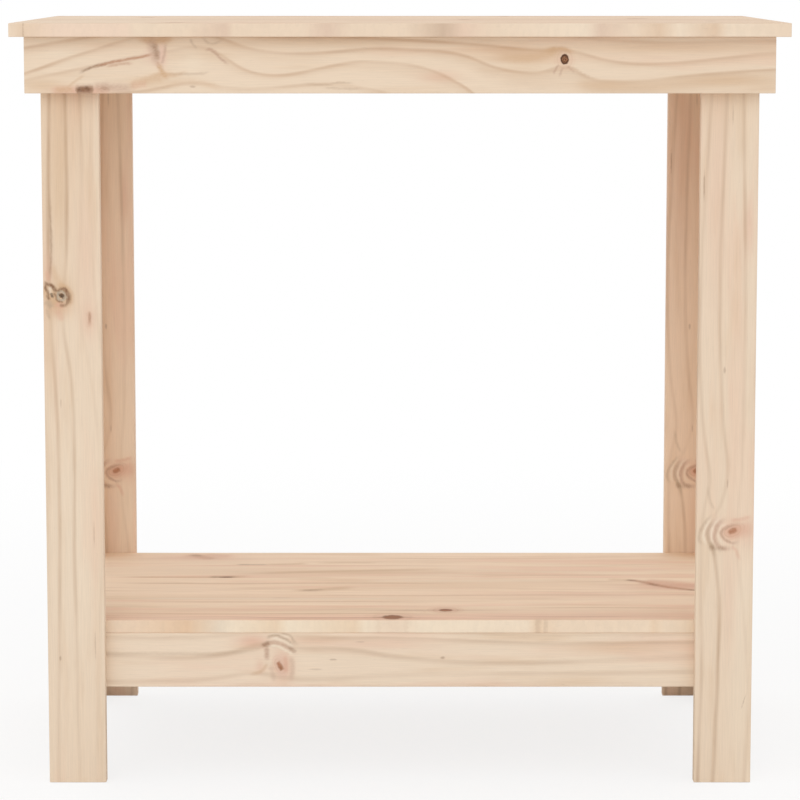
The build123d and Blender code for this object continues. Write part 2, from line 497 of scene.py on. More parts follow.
def board(node, grain, flat, woods, slot, rings, step=8.0, cross=5.0, knots=(), strokes=(), marks=(),
          stains=(), eases=(EDGE_EASE, EDGE_EASE), sinks=(), bands=(), tone=0.0):
    """Builds one board in place of its CAD node.

    grain is the axis it runs along and flat the axis of its thickness. woods are the materials of
    its faces, of its end grain and, where it has bands, of its banded front edge. step and cross
    are its grid pitch along and across, eases how far its long edges are rounded, and tone how much
    pinker and darker than its neighbours it is.
    """
    seed = len(BUILT) + 1
    BUILT.append(node)
    order = (grain, 3 - grain - flat, flat)
    box_low, box_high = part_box(node)
    low = [box_low[axis] / MM for axis in order]
    high = [box_high[axis] / MM for axis in order]

    fine_u, fine_v = fine_spots(knots, strokes)
    must = sink_lines(sinks)
    must[0] += [place for place, _ in bands]
    shell, sides = shell_grid([
        ladder(low[0], high[0], END_EASE, END_EASE, step, must[0], fine_u),
        ladder(low[1], high[1], eases[0], eases[1], cross, must[1], fine_v),
        ladder(low[2], high[2], max(eases), max(eases), FLAT_STEP, must[2]),
    ])
    faces, slots = board_faces(shell, sides, sinks, bool(bands))
    places = ease(shell["places"], low, high, eases, seed)
    knot_offset, knot_facts = sink_knots(places, knots, low, high)

    u, v, w = places.T
    mark_offset, which = nearest(u, v, marks)
    mark_ink = np.array([one["strength"] for one in marks])[which] if marks else np.zeros(len(u))
    over, over_ink = painted(u, v, strokes, seed)
    grown = parted(rings, knots)
    number, ink = grown(u, v, w)
    stored = {
        "grain": np.stack([u + GRAIN_SHIFT[0] * seed, v + GRAIN_SHIFT[1] * seed, w], axis=1),
        "ring": number, "growth": np.stack([pitch_of(grown, u, v, w), ink, ink], axis=1),
        "knot": knot_offset, "knot_facts": knot_facts, "mark": mark_offset, "mark_ink": mark_ink,
        "tint": tint_of(u, v, stains), "over": over, "over_ink": over_ink,
        "tone": np.full(len(u), float(tone)),
    }
    if bands:
        stored["band"] = band_colours(bands, u)
    mesh = board_mesh(node, places, order, faces, slots, woods)
    for name, values in stored.items():
        give(mesh, name, values)
    mesh.update()
    piece = bpy.data.objects.new(f"pine_{node}", mesh)
    bpy.context.scene.collection.objects.link(piece)
    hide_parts(node)
    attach(piece, "root")


# ---------------------------------------------------------------- materials


class Graph:
    """A node material, built from the inside out."""

    def __init__(self, name):
        self.material = bpy.data.materials.new(name)
        self.material.use_nodes = True
        self.tree = self.material.node_tree
        self.shader = self.tree.nodes["Principled BSDF"]

    def node(self, kind, inputs=(), **settings):
        """Adds a node; inputs is {socket name or number: value or output to link}."""
        made = self.tree.nodes.new(kind)
        for key, value in settings.items():
            setattr(made, key, value)
        for key, value in dict(inputs).items():
            self.feed(made.inputs[key], value)
        return made

    def feed(self, socket, value):
        """Links an output to a socket, or sets the socket's own value."""
        if isinstance(value, bpy.types.NodeSocket):
            self.tree.links.new(value, socket)
        else:
            socket.default_value = value

    def attribute(self, name, output="Vector"):
        return self.node("ShaderNodeAttribute", attribute_name=name).outputs[output]

    def math(self, operation, first, second=0.0, third=0.0, clamp=False):
        inputs = {0: first, 1: second, 2: third}
        made = self.node("ShaderNodeMath", inputs, operation=operation, use_clamp=clamp)
        return made.outputs[0]

    def times(self, product, *factors):
        for factor in factors:
            product = self.math("MULTIPLY", product, factor)
        return product

    def vector(self, operation, first, second):
        made = self.node("ShaderNodeVectorMath", {0: first, 1: second}, operation=operation)
        return made.outputs["Value" if operation == "LENGTH" else "Vector"]

    def noise(self, place, scale, detail=2.0, roughness=0.5):
        """Noise between 0 and 1; scale is how many cells there are to a unit of place, by axis."""
        stretched = self.vector("MULTIPLY", place, scale)
        inputs = {"Vector": stretched, "Scale": 1.0, "Detail": detail, "Roughness": roughness}
        return self.node("ShaderNodeTexNoise", inputs).outputs["Fac"]

    def step(self, value, low, high, start=0.0, end=1.0):
        """Goes smoothly from start to end as the value passes from low to high."""
        inputs = {"Value": value, "From Min": low, "From Max": high, "To Min": start, "To Max": end}
        made = self.node("ShaderNodeMapRange", inputs, interpolation_type="SMOOTHSTEP")
        return made.outputs[0]

    def parts(self, name):
        """The three numbers of a vector attribute."""
        return self.node("ShaderNodeSeparateXYZ", {0: self.attribute(name)}).outputs

    def even(self, value):
        """The same value in all three channels."""
        return self.node("ShaderNodeCombineXYZ", {0: value, 1: value, 2: value}).outputs[0]

    def reach(self, name):
        """How far off the nearest knot or mark is, in its radii, and whether it is near enough to show.

        Halfway between two of them the offset swings through nothing, so the distance that was
        stored with it keeps the reach from falling there.
        """
        offset = self.parts(name)
        level = self.node("ShaderNodeCombineXYZ", {0: offset[0], 1: offset[1]}).outputs[0]
        least = self.math("SUBTRACT", offset[2], 0.6)
        length = self.math("MAXIMUM", self.vector("LENGTH", level, (0, 0, 0)), least)
        return length, self.math("LESS_THAN", offset[2], FAR / 2)

    def mix(self, share, first, second, blend="MIX"):
        made = self.node("ShaderNodeMix", data_type="RGBA", blend_type=blend)
        for number, value in ((0, share), (6, first), (7, second)):
            self.feed(made.inputs[number], value)
        return made.outputs[2]


CREAM = paint(233, 211, 186)
ROSY = paint(231, 201, 176)
TAN = paint(213, 179, 143)
BLUSH = paint(224, 180, 156)
PALE = paint(241, 227, 205)
LATE = paint(182, 148, 117)
KNOT_BODY = paint(168, 118, 84)
KNOT_RIM = paint(92, 60, 42)
MARK = paint(128, 84, 54)
HALO = paint(216, 172, 147)


def pine_ground(g, place, tone, cream, rosy, blush, banded):
    """The colour between the rings: drifting from cream to rosy, or banded, and then tinted by the stains
    and the patches of painted light.
    """
    if banded:
        base = g.attribute("band", "Color")
    else:
        drift = g.math("MULTIPLY_ADD", tone, 0.1, g.noise(place, (0.004, 0.03, 0.04), 3.0))
        base = g.mix(g.step(drift, 0.62 - 0.3 * blush, 0.86 - 0.3 * blush), cream, rosy)
    warmth = g.noise(place, (0.007, 0.06, 0.06), 3.0)
    base = g.mix(g.step(warmth, 0.5, 0.8, 0.0, 0.1 if banded else 0.4), base, TAN)
    for share, colour in zip(g.parts("tint"), (TAN, BLUSH, PALE)):
        base = g.mix(g.math("MINIMUM", share, 0.9), base, colour)
    return base


def pine_rings(g, place, line, fade, luck, jitter):
    """How strong the growth rings are at each spot: 0 between them, about 1 on a line of ink 1."""
    growth = g.parts("growth")
    pitch, ink = growth[0], growth[1]
    wander = g.math("SUBTRACT", g.noise(place, (0.012, 0.1, 0.1), 3.0), 0.5)
    ring = g.math("MULTIPLY_ADD", wander, jitter * 2, g.attribute("ring", "Fac"))
    phase = g.math("FRACT", ring)
    left = g.math("SUBTRACT", 1.0, phase)
    width = g.math("MINIMUM", line, g.math("MULTIPLY", pitch, 0.35))
    before = g.step(g.math("DIVIDE", g.times(left, pitch), width), 1.0, 0.0)
    after = g.step(g.math("DIVIDE", g.times(phase, pitch), width), 1.0, 0.0)
    slow = g.math("MAXIMUM", g.step(left, 0.5, 0.0), after)
    quick = g.math("MULTIPLY", g.math("MAXIMUM", before, after), 1 - fade)
    profile = g.math("MULTIPLY_ADD", slow, fade, quick)
    number = g.math("FLOOR", g.math("ADD", ring, 0.5))
    chance = g.node("ShaderNodeTexWhiteNoise", {"W": number}, noise_dimensions="1D").outputs["Value"]
    patchy = g.step(g.noise(place, (0.009, 0.05, 0.05), 2.0), 0.3, 0.72, 0.45, 1.15)
    strength = g.times(g.math("MULTIPLY_ADD", chance, luck, 1 - luck), patchy, ink)
    return g.times(profile, strength)


def pine_shade(g, place, tone, fibre, ends, banded):
    """How light or dark the fibres, the pores of end grain and the resin flecks are."""
    shade = g.step(fibre, 0.25, 0.75, 0.97 if banded else 0.955, 1.02 if banded else 1.03)
    if ends:
        pores = g.noise(place, (0.3, 2.6, 2.6), 2.0, 0.6)
        shade = g.times(g.step(pores, 0.3, 0.7, 0.88, 0.98), shade)
    flecks = g.noise(place, (0.11, 1.9, 1.9), 1.0, 0.4)
    shade = g.times(shade, g.step(flecks, 0.7, 0.8, 1.0, 0.91))
    return g.even(g.times(shade, g.math("MULTIPLY_ADD", tone, -0.025, 1.0)))


def pine_knots(g, place, wobble, late, colour):
    """Lays the knots over the colour: a warm halo, faint circles, a speckled heart, a dark rim."""
    facts = g.parts("knot_facts")
    dark, halo = facts[0], facts[1]
    length, near = g.reach("knot")
    reach = g.math("MULTIPLY_ADD", wobble, 0.5, length)
    colour = g.mix(g.times(g.step(reach, 3.4, 0.9), halo, near, 0.75), colour, HALO)
    circles = g.step(g.math("SINE", g.math("MULTIPLY", reach, 7.4)), 0.0, 1.0, 0.0, 0.3)
    circles = g.times(circles, g.step(reach, 3.3, 2.0), near, halo)
    colour = g.mix(circles, colour, late)
    speckle = g.noise(place, (0.9, 0.9, 0.9), 2.0, 0.6)
    heart = g.mix(g.step(speckle, 0.35, 0.65), KNOT_BODY, KNOT_RIM)
    heart = g.mix(g.math("MULTIPLY", g.math("SUBTRACT", 1.0, dark), 0.9), heart, KNOT_BODY)
    colour = g.mix(g.times(g.step(reach, 1.15, 0.7), near), colour, heart)
    rim = g.step(g.math("ABSOLUTE", g.math("SUBTRACT", reach, 0.9)), 0.3, 0.05)
    return g.mix(g.times(rim, near, dark), colour, KNOT_RIM)


def pine_strokes(g, place, colour):
    """Lays the strokes over the colour, a little ragged along the fibres."""
    ragged = g.step(g.noise(place, (0.3, 0.8, 0.8), 3.0), 0.3, 0.65, 0.72, 1.0)
    colour = g.mix(g.times(ragged, g.attribute("over_ink", "Fac")), colour, (0, 0, 0, 1))
    return g.mix(1.0, colour, g.vector("MULTIPLY", g.attribute("over"), g.even(ragged)), "ADD")


def pine_marks(g, wobble, colour):
    """Lays the dark streaks, checks and flecks over the colour."""
    length, near = g.reach("mark")
    ragged = g.math("MULTIPLY_ADD", wobble, 0.8, length)
    inked = g.times(g.step(ragged, 1.15, 0.3), near)
    inked = g.math("MULTIPLY", inked, g.attribute("mark_ink", "Fac"), clamp=True)
    return g.mix(inked, colour, MARK)


def pine(name, cream=CREAM, rosy=ROSY, late=LATE, blush=0.5, contrast=0.5, luck=0.6, line=1.8,
         fade=0.4, ends=False, banded=False, jitter=0.1):
    """Planed pine: growth rings, fibres, drifting colour, resin flecks, knots, strokes and marks.

    line is the width of the dark part of a ring in millimetres, fade the share of it that dies away
    slowly on the side of the lower rings, and luck how much the rings differ in strength.
    """
    g = Graph(name)
    place = g.attribute("grain")
    tone = g.attribute("tone", "Fac")
    colour = pine_ground(g, place, tone, cream, rosy, blush, banded)
    dark = g.math("MULTIPLY", pine_rings(g, place, line, fade, luck, jitter), contrast, clamp=True)
    if not banded:
        colour = g.mix(dark, colour, late)
    fibre = g.noise(place, (0.2, 0.1, 0.1) if banded else (0.03, 1.3, 1.3), 3.0, 0.6)
    colour = g.mix(1.0, colour, pine_shade(g, place, tone, fibre, ends, banded), "MULTIPLY")
    wobble = g.math("SUBTRACT", g.noise(place, (0.25, 0.4, 0.4), 3.0), 0.5)
    colour = pine_knots(g, place, wobble, late, colour)
    colour = pine_strokes(g, place, colour)
    colour = pine_marks(g, wobble, colour)

    g.feed(g.shader.inputs["Base Color"], colour)
    g.feed(g.shader.inputs["Roughness"], g.step(fibre, 0.2, 0.8, 0.58, 0.74))
    g.shader.inputs["Specular IOR Level"].default_value = 0.2
    height = g.math("MULTIPLY_ADD", dark, 0.5, fibre)
    bump = g.node("ShaderNodeBump", {"Strength": 0.25, "Distance": 0.0002, "Height": height})
    g.feed(g.shader.inputs["Normal"], bump.outputs[0])
    return g.material


def cloudy(name, cells, dark, light, roughness, metallic=0.0):
    """A plain material with faint clouds in its colour and gloss, so many cells to a metre."""
    g = Graph(name)
    place = g.node("ShaderNodeTexCoord").outputs["Object"]
    cloud = g.noise(place, (cells, cells, cells), 3.0)
    g.feed(g.shader.inputs["Base Color"], g.mix(cloud, dark, light))
    g.feed(g.shader.inputs["Roughness"], g.step(cloud, 0.3, 0.7, *roughness))
    g.shader.inputs["Metallic"].default_value = metallic
    return g.material


# ---------------------------------------------------------------- the figure of the front boards

# Places are (along the board, across it) in millimetres. They were typed in one by one, to follow the
# figure in the photo, after it had been looked at and measured.
APRON_LINES = [
    (1, 0.7, [(-386, 726), (-260, 731), (-215, 739), (-170, 733), (-55, 736), (10, 722), (386, 690)]),
    (2, [(-386, 0.6), (-220, 0.5), (-100, 1.0), (386, 1.0)],
     [(-386, 741), (-320, 755), (-255, 768), (-190, 771), (-165, 755), (-30, 760), (30, 752),
      (65, 735), (90, 716), (386, 700)]),
    (3, [(-386, 1.0), (-230, 0.4), (-150, 0.9), (386, 1.1)],
     [(-386, 748), (-330, 767), (-230, 791), (-200, 789), (-155, 774), (0, 773), (68, 766),
      (96, 755), (140, 749), (172, 755), (198, 743), (221, 740), (310, 747), (386, 752)]),
    (4, 0.9, [(-386, 774), (-300, 788), (-220, 797), (-160, 788), (-20, 784), (80, 778), (140, 772),
              (175, 771), (210, 762), (386, 769)]),
    (5, 0.9, [(-386, 800), (-135, 806), (120, 797), (210, 783), (386, 781)]),
]
APRON_STROKES = [
    stroke("pink", 0.5, 12, (-262, 776), (-252, 766), (-236, 762)),
    stroke("tan", 0.75, 4.5, (-272, 786), (-256, 782), (-244, 782), (-230, 787)),
    stroke("tan", 0.5, 5, (-282, 733), (-270, 738), (-252, 744), (-240, 740)),
    stroke("blush", 0.4, 5, (-278, 735), (-268, 737), (-258, 738)),
    stroke("mauve", 0.6, 6, (-257, 786), (-254, 776), (-251, 768), (-249, 756), tips=0.2),
    stroke("brown", 0.5, 4.0, (-253, 781), (-251, 774), (-249, 768), (-248, 761)),
    stroke("brown", 0.65, 1.8, (-331, 748), (-321, 753), (-308, 757), (-290, 761), tips=0.3),
    stroke("rust", 0.75, 1.8, (-318, 754), (-300, 759), (-279, 763), (-262, 766), (-252, 769)),
    stroke("rust", 0.45, 1.8, (-304, 755), (-288, 758), (-272, 759)),
    stroke("pink", 0.8, 3.4, (-245, 781), (-244, 773), (-244, 764), (-244, 757)),
    stroke("mauve", 0.6, 1.8, (-240, 781), (-241, 772), (-243, 763), (-245, 756)),
    stroke("rust", 0.4, 2.4, (-250, 761), (-248, 757), (-246, 752)),
    stroke("tan", 0.9, 3.2, (-249, 760), (-245, 752), (-242, 747), (-237, 743)),
    stroke("tan", 0.6, 2.6, (-258, 746), (-243, 748), (-232, 747), (-216, 750)),
    stroke("grey", 0.45, 1.6, (-240, 748), (-210, 748), (-194, 750)),
    stroke("tan", 0.45, 1.8, (-345, 732), (-333, 741), (-322, 748)),
    stroke("mauve", 0.8, 1.8, (-201, 771), (-195, 773), (-189, 769), (-182, 762), (-174, 757)),
    stroke("grey", 0.45, 1.6, (-216, 785), (-212, 778), (-208, 773)),
    stroke("grey", 0.45, 1.6, (-205, 787), (-197, 780), (-190, 779), (-180, 784)),
    stroke("tan", 0.3, 4, (-250, 733), (-225, 740), (-200, 738), (-180, 731)),
    stroke("tan", 0.4, 6, (90, 767), (125, 763), (150, 768), (163, 770)),
    stroke("tan", 0.8, 2.6, (148, 771), (159, 774), (169, 773), (180, 768)),
    stroke("tan", 0.2, 6, (178, 743), (196, 736), (225, 734), (270, 737), (330, 741), (400, 744),
           tips=0.15),
    stroke("mauve", 0.7, 1.5, (163, 758), (160, 753), (157, 747)),
    stroke("mauve", 0.6, 1.4, (168, 755), (165, 750), (164, 744)),
    stroke("mauve", 0.5, 1.4, (171, 757), (175, 753), (180, 750)),
    stroke("grey", 0.55, 1.4, (-104, 739), (-80, 737), (-62, 739), (-44, 738)),
    stroke("grey", 0.5, 1.4, (-82, 734), (-58, 733), (-36, 733)),
    stroke("blush", 0.6, 5, (-360, 731), (-328, 731), (-296, 731), tips=0.1),
    stroke("tan", 0.6, 4, (-356, 731), (-345, 732), (-334, 732)),
    stroke("mauve", 0.6, 6, (-316, 733), (-306, 735), (-292, 734), (-270, 733), tips=0.2),
    stroke("brown", 0.85, 5.0, (-334, 731), (-324, 732), (-314, 732), tips=0.12),
    stroke("bark", 0.6, 1.6, (-331, 735), (-327, 729)),
    stroke("bark", 0.6, 1.6, (-324, 736), (-319, 730)),
    stroke("brown", 0.3, 3.0, (-309, 732), (-303, 733), (-296, 733)),
]
LEFT_LEG_LINES = [
    (1, [(0, 0.4), (380, 1.0), (480, 0.5), (540, 1.4), (786, 1.2)],
     [(0, -361), (430, -360), (480, -363), (786, -361)]),
    (2, [(0, 0.3), (400, 1.0), (505, 0.2), (550, 1.0), (786, 1.2)],
     [(0, -339), (250, -342), (430, -343), (500, -351), (540, -348), (786, -346)]),
    (3, [(0, 0.2), (560, 0.2), (786, 0.8)],
     [(0, -320), (430, -322), (510, -335), (580, -331), (786, -331)]),
    (4, 0.25, [(0, -304), (430, -308), (530, -318), (786, -317)]),
]
LEFT_LEG_STROKES = [
    stroke("tan", 0.85, 9, (529, -373), (518, -362), (508, -350)),
    stroke("tan", 0.4, 4, (556, -361), (541, -359), (529, -353), tips=0.4),
    stroke("tan", 0.6, 5, (526, -356), (524, -348), (516, -343), (508, -346)),
    stroke("grey", 0.75, 4.5, (513, -370), (509, -365), (504, -362)),
    stroke("blush", 0.8, 4, (511, -358), (508, -354), (507, -349)),
    stroke("brown", 0.5, 1.6, (640, -363), (600, -362.5), (570, -362), (545, -363), (531, -364), tips=0.3),
    stroke("blush", 0.6, 2.6, (546, -367), (538, -366), (532, -365), tips=0.3),
    stroke("tan", 0.7, 3.4, (532, -357), (528, -350), (522, -344), (512, -343), (506, -348), tips=0.2),
    stroke("brown", 0.95, 2.1, (532, -371), (530, -367), (529, -363), (526, -360), (523, -358),
           (523, -355), (525, -351), (524, -348), (520, -346), (516, -345.5), (511, -347), tips=0.08),
    stroke("brown", 0.8, 2.6, (526, -351), (523, -347), (518, -344.5), (512, -345), (508, -348)),
    stroke("brown", 0.7, 2.6, (530, -363), (526, -360), (523, -357)),
    stroke("brown", 0.95, 1.8, (530, -369), (525, -368), (521, -366), (517, -366), (513, -364),
           tips=0.1),
    stroke("pale", 0.6, 1.9, (528, -364), (524, -364), (519, -363)),
    stroke("bark", 0.85, 1.7, (521, -362), (518, -362), (516, -360), tips=0.1),
    stroke("brown", 0.8, 1.5, (521, -360), (518, -358), (514, -357), (512, -354), (511, -350),
           tips=0.1),
    stroke("brown", 0.7, 1.9, (513, -345), (509, -347), (507.5, -351), (509, -355), tips=0.2),
    stroke("ash", 0.85, 1.7, (521, -355), (522, -352), (520, -349), (516, -348), (513.5, -351),
           (514.5, -355), (518, -356), (521, -355)),
    stroke("bark", 0.95, 4.4, (516.5, -353), (518, -352), (519.5, -351.5), tips=0.01),
    stroke("grey", 0.6, 1.8, (505, -368), (499, -366), (492, -365)),
    stroke("blush", 0.4, 4, (504, -358), (498, -354), (490, -352)),
    stroke("rust", 0.4, 2.6, (503, -323), (494, -323), (484, -323)),
]
RIGHT_LEG_LINES = [
    (1, [(0, 0.9), (170, 0.8), (260, 0.3), (400, 0.8), (786, 0.5)],
     [(0, 315), (140, 318), (220, 316), (285, 318), (322, 324), (370, 318), (786, 323)]),
    (2, [(0, 1.0), (100, 1.3), (240, 0.8), (285, 0.3), (420, 0.7), (786, 0.7)],
     [(0, 331), (115, 335), (216, 334), (243, 330), (268, 322), (300, 337), (330, 343),
      (380, 338), (786, 338)]),
    (3, [(0, 0.5), (250, 0.2), (786, 1.1)],
     [(0, 364), (100, 368), (185, 361), (250, 354), (342, 358), (786, 354)]),
    (4, 0.25, [(0, 380), (300, 372), (786, 372)]),
]
RIGHT_LEG_STROKES = [
    stroke("blush", 0.5, 9, (275, 372), (269, 354), (266, 342)),
    stroke("pink", 0.6, 6, (284, 340), (272, 326), (256, 328)),
    stroke("mauve", 0.75, 1.9, (278, 362), (276, 349), (272, 340), (267, 337), (261, 341), (257, 350),
           (261, 359)),
    stroke("pale", 0.5, 1.5, (279, 347), (275, 337), (268, 334), (260, 336), (255, 343)),
    stroke("blush", 0.55, 2.6, (281, 345), (282, 356), (286, 370)),
    stroke("mauve", 0.7, 2.8, (285, 346), (279, 335), (270, 331), (262, 330), (254, 334), (251, 343),
           (254, 352)),
    stroke("pale", 0.7, 1.7, (286, 339), (279, 331), (270, 327), (262, 327), (255, 330)),
    stroke("grey", 0.7, 2.6, (286, 334), (278, 327), (269, 323), (260, 324), (253, 328), (246, 330),
           (236, 333)),
    stroke("pale", 0.7, 1.6, (287, 329), (279, 323), (270, 319), (261, 319), (254, 322)),
    stroke("grey", 0.55, 2.0, (289, 329), (280, 321), (270, 315), (261, 314), (253, 318)),
    stroke("brown", 0.3, 3.0, (257, 323), (252, 329), (251, 336), (251, 344)),
    stroke("grey", 0.35, 2.0, (320, 322), (302, 325), (290, 331)),
    stroke("blush", 0.5, 2.2, (254, 347), (249, 353), (237, 357)),
    stroke("blush", 0.6, 4.4, (266, 342), (270, 350), (275, 357)),
    stroke("rust", 0.85, 2.6, (268, 344.5), (269.5, 349), (272, 353), tips=0.12),
]
RAIL_LINES = [
    (1, 0.5, [(-356, 104), (-190, 110), (-155, 115), (-125, 110), (0, 113), (356, 116)]),
    (2, [(-356, 0.9), (-170, 0.8), (-125, 0.2), (-90, 0.6), (356, 0.65)],
     [(-356, 137), (-179, 137), (-142, 146), (-110, 142), (-52, 140), (-10, 133), (356, 133)]),
    (3, [(-356, 0.9), (-120, 0.3), (-70, 0.6), (356, 0.8)],
     [(-356, 155), (-210, 154), (-145, 159), (-110, 155), (0, 153), (125, 148), (356, 149)]),
    (4, 0.6, [(-356, 175), (-200, 168), (42, 158), (356, 156)]),
]
RAIL_STROKES = [
    stroke("grey", 0.3, 2.4, (-370, 136), (-260, 136), (-190, 136), (-165, 138), (-146, 143),
           tips=0.04),
    stroke("pink", 0.6, 8, (-126, 138), (-125, 122), (-123, 106)),
    stroke("mauve", 0.8, 3.2, (-143, 145), (-141, 140), (-141, 133), (-140, 127), tips=0.3),
    stroke("pale", 0.55, 1.5, (-139, 156), (-131, 157.5), (-122, 155), (-115, 151)),
    stroke("grey", 0.6, 1.6, (-133, 158), (-123, 157.5), (-116, 155), (-112, 149), (-106, 144)),
    stroke("grey", 0.8, 2.0, (-142, 151), (-138, 154.5), (-131, 155.5), (-123, 152.5), (-116, 148),
           (-110, 143)),
    stroke("pale", 0.75, 1.8, (-141, 148.5), (-132, 152), (-125, 150), (-117, 146), (-111, 142)),
    stroke("mauve", 0.6, 2.8, (-150, 142), (-144, 145), (-139, 147.5), (-131, 148), (-123, 145),
           (-116, 141.5), (-109, 137), tips=0.15),
    stroke("brown", 0.5, 2.8, (-147, 144), (-142, 146.5), (-137, 147.5)),
    stroke("brown", 0.35, 2.6, (-120, 143), (-114, 140), (-109, 137)),
    stroke("pale", 0.85, 1.8, (-141, 141.5), (-134, 144.5), (-125, 142), (-117, 137), (-111, 133)),
    stroke("mauve", 0.4, 3.4, (-117, 134), (-114, 126), (-114, 116), (-116, 104)),
    stroke("mauve", 0.3, 3.0, (-138, 126), (-135, 115), (-133, 104)),
    stroke("blush", 0.6, 3.0, (-123, 135), (-121, 128), (-121, 120), (-122, 114)),
    stroke("tan", 0.5, 2.2, (-162, 112), (-149, 116), (-143, 121), (-140, 127)),
    stroke("rust", 0.9, 2.8, (-130, 127), (-127, 122.5), (-124.5, 117), tips=0.12),
    stroke("brown", 0.5, 1.6, (-128, 123), (-126, 120), (-125, 117)),
]
SHELF_STROKES = {
    1: [stroke("rust", 0.35, 5, (-240, -189), (-120, -194), (-20, -193), (60, -196), tips=0.4),
        stroke("rust", 0.4, 4, (-60, -151), (0, -152), (48, -151), (140, -154), tips=0.4),
        stroke("rust", 0.25, 4, (60, -184), (160, -187), (260, -185)),
        stroke("tan", 0.6, 4, (-340, -168), (-200, -172), (-60, -170), (90, -174)),
        stroke("tan", 0.5, 4, (120, -140), (220, -136), (340, -141))],
    2: [stroke("tan", 0.6, 4, (-300, -100), (-180, -104), (-60, -101), (60, -104)),
        stroke("tan", 0.5, 4, (-160, -62), (0, -66), (150, -63), (300, -67)),
        stroke("pale", 0.5, 6, (-320, -82), (-160, -85), (40, -83))],
    3: [stroke("blush", 0.75, 22, (268, 20), (296, 8), (324, -6), (352, -14), tips=0.15),
        stroke("tan", 0.4, 10, (232, 30), (246, 29), (262, 26)),
        stroke("rust", 0.6, 8, (250, 29), (262, 25), (274, 14), (286, -3), (300, -17), (318, -30),
               (342, -40), tips=0.2),
        stroke("rust", 0.35, 3.5, (252, 29), (274, 14), (300, -19), (340, -41), tips=0.2),
        stroke("brown", 0.6, 5, (254, 28), (260, 26), (266, 23), tips=0.3),
        stroke("brown", 0.5, 4.5, (276, 9), (283, -1), (290, -9), tips=0.35),
        stroke("brown", 0.5, 4.5, (316, -29), (325, -34), (334, -38), tips=0.35),
        stroke("tan", 0.5, 11, (-125, -38), (-99, -34), (-70, -24), (-46, -12)),
        stroke("brown", 0.25, 6, (-112, -38), (-96, -35), (-82, -29)),
        stroke("tan", 0.6, 4, (-330, 10), (-200, 6), (-60, 9), (90, 5)),
        stroke("pale", 0.4, 7, (-60, 24), (60, 22), (200, 26))],
    4: [stroke("tan", 0.5, 9, (-190, 66), (-110, 78), (-20, 89), (70, 97)),
        stroke("tan", 0.6, 9, (-330, 48), (-260, 43), (-194, 46), (-166, 53)),
        stroke("brown", 0.5, 9, (-218, 46), (-202, 45), (-182, 47)),
        stroke("brown", 0.6, 6, (-206, 45), (-197, 44), (-186, 45)),
        stroke("tan", 0.5, 4, (60, 62), (160, 58), (300, 61))],
    5: [stroke("blush", 0.25, 20, (-262, 190), (-228, 182), (-190, 168)),
        stroke("rust", 0.33, 11, (-250, 194), (-240, 186), (-226, 170), (-214, 159)),
        stroke("blush", 0.35, 12, (-232, 196), (-214, 188), (-194, 182)),
        stroke("brown", 0.6, 8, (-192, 124), (-170, 121), (-150, 122)),
        stroke("tan", 0.5, 8, (-160, 124), (-130, 128), (-104, 134)),
        stroke("tan", 0.5, 5, (-100, 135), (-60, 139), (-20, 137)),
        stroke("tan", 0.5, 4, (-60, 170), (80, 165), (240, 169))],
}

TONES = {
    "cream": (234, 212, 188), "pale": (238, 219, 196), "pink": (235, 208, 186), "blush": (230, 203, 180),
    "tan": (226, 199, 172), "orange": (231, 204, 176), "mauve": (224, 198, 176), "line": (216, 193, 170),
    "deep": (210, 184, 160), "grey": (227, 209, 188), "amber": (225, 191, 159),
}
TOP_EDGE = [
    (-400, "cream"), (-385, "tan"), (-350, "pink"), (-280, "pink"), (-270, "cream"), (-220, "cream"),
    (-178, "mauve"), (-170, "cream"), (-100, "cream"), (-75, "mauve"), (-50, "cream"), (5, "cream"),
    (44, "deep"), (65, "blush"), (95, "cream"), (190, "pale"), (205, "mauve"), (240, "cream"),
    (265, "tan"), (285, "pale"), (322, "tan"), (335, "pale"), (400, "cream"),
]
SHELF_EDGE = [
    (-356, "tan"), (-300, "cream"), (-262, "orange"), (-225, "amber"), (-190, "grey"), (-178, "pale"),
    (-131, "orange"), (-118, "pale"), (-48, "orange"), (-36, "pale"), (134, "pale"), (145, "orange"),
    (170, "cream"), (262, "cream"), (268, "orange"), (280, "cream"), (356, "tan"),
]


def banding(stops, painted_light_lift=(0, 0, 0)):
    """Band colours along an edge, from the names of their tones, each raised by a lift that paints in light
    where the edge lies in shade.
    """
    return [(place, [level + more for level, more in zip(TONES[tone], painted_light_lift)]) for place, tone in stops]


# ---------------------------------------------------------------- the boards

apron_pine = pine("pine_apron", cream=paint(234, 213, 189), late=paint(186, 146, 110), blush=0.45,
                  contrast=0.48, luck=0.0, line=3.0, fade=0.5, jitter=0.05)
leg_pine = pine("pine_leg", cream=paint(233, 212, 188), blush=0.45, contrast=0.52, luck=0.0,
                line=3.4, fade=0.1, jitter=0.05)
# The front rail's pine is brighter than the apron's: painted light against the shade that the rail lies in.
rail_pine_lit = pine("pine_rail_lit", cream=paint(237, 217, 194), rosy=paint(235, 207, 184), blush=0.45,
                 contrast=0.5, luck=0.0, line=5.0, fade=0.15, jitter=0.05)
# The back legs' pine is brighter and rosier than the front legs': painted light against the shade that the
# tabletop and shelf put them in, and the warm bounce of that shade painted into the colour, along with some
# warmer tone of their own.
back_pine_lit_and_warmed = pine("pine_back", cream=paint(239, 214, 189), rosy=paint(236, 203, 178), blush=0.55,
                 contrast=0.5, luck=0.0, line=3.4, fade=0.1, jitter=0.05)
frame_pine = pine("pine_frame", blush=0.45, contrast=0.5, line=1.6)
frame_ends = pine("pine_frame_ends", blush=0.5, contrast=0.75, ends=True)
top_pine = pine("pine_top", cream=paint(232, 207, 181), rosy=paint(229, 198, 172), blush=0.55, contrast=0.45)
top_ends = pine("pine_top_ends", blush=0.5, contrast=0.75, ends=True)
